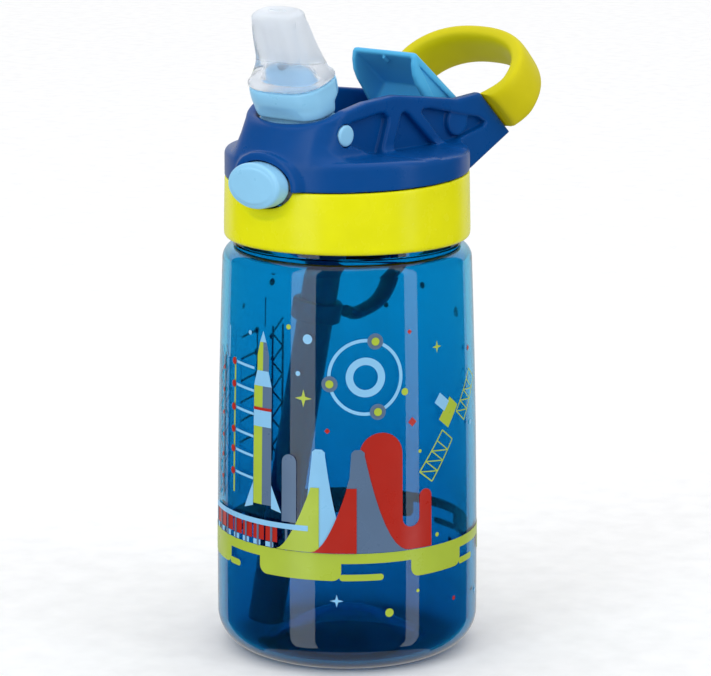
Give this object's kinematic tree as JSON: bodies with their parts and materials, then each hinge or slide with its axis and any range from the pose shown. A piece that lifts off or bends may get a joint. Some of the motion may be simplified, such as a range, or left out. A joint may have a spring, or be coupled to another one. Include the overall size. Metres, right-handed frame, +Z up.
{
  "type": "kids water bottle",
  "caption": "Tinted child's drinking bottle with a screw lid, flip-up silicone spout under a sprung hood, push button, slanted straw and a soft carrying loop.",
  "frame": {"origin": "on the standing surface, under the middle of the whole object's box; the bottle's own axis is 13.6 mm towards the button", "axes": "+Z up the bottle, -Y towards the button and spout, +Y towards the carrying loop, +X to the right seen from the button"},
  "size_m": [0.073, 0.104, 0.1811],
  "materials": {
    "tinted_plastic": "clear polished, blue tint",
    "lime_gloss_plastic": "polished",
    "dark_blue_plastic": "satin",
    "lime_soft_grip": "soft matt",
    "pale_blue_plastic": "satin gloss",
    "clear_silicone": "translucent, frosted",
    "navy_plastic": "satin gloss",
    "spring_steel": "bright",
    "white_plastic": "satin"
  },
  "bodies": {
    "bottle": {"bottle_body": "tinted_plastic"},
    "seal": {"lid_gasket": "clear_silicone"},
    "lid": {"lid_collar": "lime_gloss_plastic", "inner_lid": "white_plastic", "channel_cover": "white_plastic", "vent_valve": "clear_silicone", "lid_shell": "dark_blue_plastic", "handle_grip": "lime_soft_grip", "spout_seal": "clear_silicone", "spout_spring_left": "spring_steel", "spout_spring_right": "spring_steel", "cover_pin": "spring_steel", "cover_spring": "spring_steel", "button_spring": "spring_steel", "straw": "navy_plastic", "straw_keeper": "navy_plastic"},
    "spout": {"spout_body": "pale_blue_plastic", "mouthpiece": "clear_silicone"},
    "hood": {"spout_cover": "pale_blue_plastic"},
    "button": {"button": "pale_blue_plastic", "latch": "white_plastic"}
  },
  "joints": [
    {"name": "lid_lift", "type": "slide", "parent": "bottle", "child": "seal", "axis": [0, 0, 1], "range_m": [0, 0.13]},
    {"name": "lid_turn", "type": "hinge", "parent": "seal", "child": "lid", "pos_m": [0, -0.01356, 0.122], "axis": [0, 0, 1], "range_deg": [0, 360]},
    {"name": "spout_fold", "type": "hinge", "parent": "lid", "child": "spout", "pos_m": [0, -0.03246, 0.1472], "axis": [1, 0, 0], "range_deg": [-105, 0], "stiffness_Nm_per_rad": 0.01, "springref_deg": 17.19},
    {"name": "hood_tilt", "type": "hinge", "parent": "lid", "child": "hood", "pos_m": [0, 0.01444, 0.1465], "axis": [1, 0, 0], "range_deg": [0, 38], "stiffness_Nm_per_rad": 0.004, "springref_deg": -28.65},
    {"name": "button_press", "type": "slide", "parent": "lid", "child": "button", "axis": [0, 1, 0], "range_m": [0, 0.0024], "stiffness_N_per_m": 600, "springref_m": -0.001, "deforming": ["button_spring"]}
  ]
}
